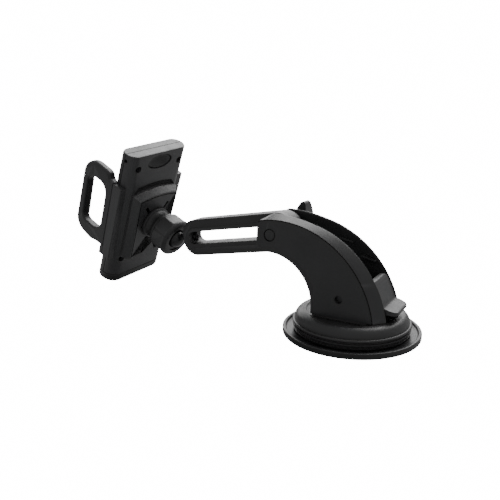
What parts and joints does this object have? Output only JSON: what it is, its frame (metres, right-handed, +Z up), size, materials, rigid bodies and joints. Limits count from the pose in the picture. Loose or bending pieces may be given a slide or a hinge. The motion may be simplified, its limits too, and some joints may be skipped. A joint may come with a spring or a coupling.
{
  "type": "car phone mount",
  "caption": "Suction-cup car phone mount with a curved arm, a slotted sliding link, a ball joint and a spring-jaw phone cradle, in black plastic.",
  "frame": {"origin": "centre of the suction pad's underside", "axes": "+Z up from the pad, away from the surface it sticks to; the arm reaches towards -X and the lock lever points towards +X; Y is along the pivot bolt, with the wing knob on the +Y side"},
  "size_m": [0.2403, 0.08, 0.1071],
  "materials": {
    "black_plastic": "matte",
    "black_gloss": "satin",
    "rubber": "matte",
    "gel": "satin",
    "steel": "brushed",
    "dark_steel": "blackened",
    "brass": "machined",
    "nylon": "matte"
  },
  "bodies": {
    "base": {"gel_pad": "gel", "suction_housing": "black_plastic", "curved_arm": "black_plastic", "side_cover_near": "black_plastic", "side_cover_far": "black_plastic", "lever_pin": "dark_steel", "pivot_bolt": "dark_steel", "knob_washer": "black_plastic", "stem_spring": "steel", "housing_screw_1": "dark_steel", "housing_screw_2": "dark_steel", "housing_screw_3": "dark_steel", "housing_screw_4": "dark_steel"},
    "lever": {"lock_lever": "black_plastic"},
    "stem": {"suction_stem": "steel"},
    "knob": {"wing_knob": "black_plastic", "knob_insert": "brass"},
    "pivot": {"guide_bush": "nylon", "friction_washer_near": "rubber", "friction_washer_far": "rubber"},
    "link": {"slotted_link": "black_plastic", "link_end_screw": "dark_steel", "ball_stud": "black_gloss"},
    "ball_pad": {"friction_pad": "rubber"},
    "ball_ring": {"grip_ring": "black_gloss"},
    "cradle": {"socket_cup": "black_plastic", "cradle_back": "black_plastic", "cradle_front": "black_plastic", "phone_pad": "rubber", "pinion_pin": "steel", "back_screw_1": "dark_steel", "back_screw_2": "dark_steel", "back_screw_3": "dark_steel", "back_screw_4": "dark_steel", "button_spring": "steel"},
    "collar": {"collar_nut": "black_plastic"},
    "jaw_left": {"near_jaw": "black_plastic", "near_grip": "rubber", "near_rack": "nylon"},
    "jaw_right": {"far_jaw": "black_plastic", "far_grip": "rubber", "far_rack": "nylon"},
    "pinion": {"jaw_pinion": "nylon", "jaw_spring": "steel"},
    "button": {"release_button": "black_plastic"},
    "foot": {"foot": "black_plastic"}
  },
  "joints": [
    {"name": "lever_lift", "type": "hinge", "parent": "base", "child": "lever", "pos_m": [-0.0014, 0, 0.0247], "axis": [0, -1, 0], "range_deg": [0, 30]},
    {"name": "stem_lower", "type": "slide", "parent": "base", "child": "stem", "axis": [0, 0, -1], "range_m": [0, 0.0026], "deforming": ["stem_spring"]},
    {"name": "arm_pivot", "type": "hinge", "parent": "base", "child": "pivot", "pos_m": [-0.0459, 0, 0.0558], "axis": [0, -1, 0], "range_deg": [-12, 45]},
    {"name": "link_slide", "type": "slide", "parent": "pivot", "child": "link", "axis": [0.986, 0, 0.1668], "range_m": [0, 0.045]},
    {"name": "knob_turn", "type": "hinge", "parent": "base", "child": "knob", "pos_m": [-0.0459, 0, 0.0558], "axis": [0, 1, 0], "range_deg": [0, 360]},
    {"name": "ball_tilt", "type": "hinge", "parent": "link", "child": "ball_pad", "pos_m": [-0.12695, 0, 0.04209], "axis": [0.1378, 0.9836, 0.1164], "range_deg": [-40, 5]},
    {"name": "ball_pan", "type": "hinge", "parent": "ball_pad", "child": "ball_ring", "pos_m": [-0.12695, 0, 0.04209], "axis": [0.4115, -0.1638, 0.8966], "range_deg": [-20, 20]},
    {"name": "ball_spin", "type": "hinge", "parent": "ball_ring", "child": "cradle", "pos_m": [-0.12695, 0, 0.04209], "axis": [0.9009, -0.0757, -0.4274], "range_deg": [-90, 90]},
    {"name": "collar_turn", "type": "hinge", "parent": "cradle", "child": "collar", "pos_m": [-0.12695, 0, 0.04209], "axis": [0.9009, -0.0757, -0.4274], "range_deg": [0, 180]},
    {"name": "jaw_open", "type": "slide", "parent": "cradle", "child": "jaw_left", "axis": [-0.1378, -0.9836, -0.1164], "range_m": [0, 0.018]},
    {"name": "jaw_open_right", "type": "slide", "parent": "cradle", "child": "jaw_right", "axis": [0.1378, 0.9836, 0.1164], "range_m": [0, 0.018]},
    {"name": "pinion_turn", "type": "hinge", "parent": "cradle", "child": "pinion", "pos_m": [-0.15848, 0.00265, 0.05705], "axis": [0.9009, -0.0757, -0.4274], "range_deg": [-10, 220]},
    {"name": "button_press", "type": "slide", "parent": "cradle", "child": "button", "axis": [-0.9009, 0.0757, 0.4274], "range_m": [0, 0.0012], "stiffness_N_per_m": 120, "deforming": ["button_spring"]},
    {"name": "foot_slide", "type": "slide", "parent": "cradle", "child": "foot", "axis": [-0.4115, 0.1638, -0.8966], "range_m": [0, 0.01]}
  ],
  "couplings": [
    {"joint": "stem_lower", "follows": "lever_lift", "m_per_rad": 0.004584},
    {"joint": "jaw_open_right", "follows": "jaw_open", "ratio": 1},
    {"joint": "pinion_turn", "follows": "jaw_open", "rad_per_m": 200}
  ]
}
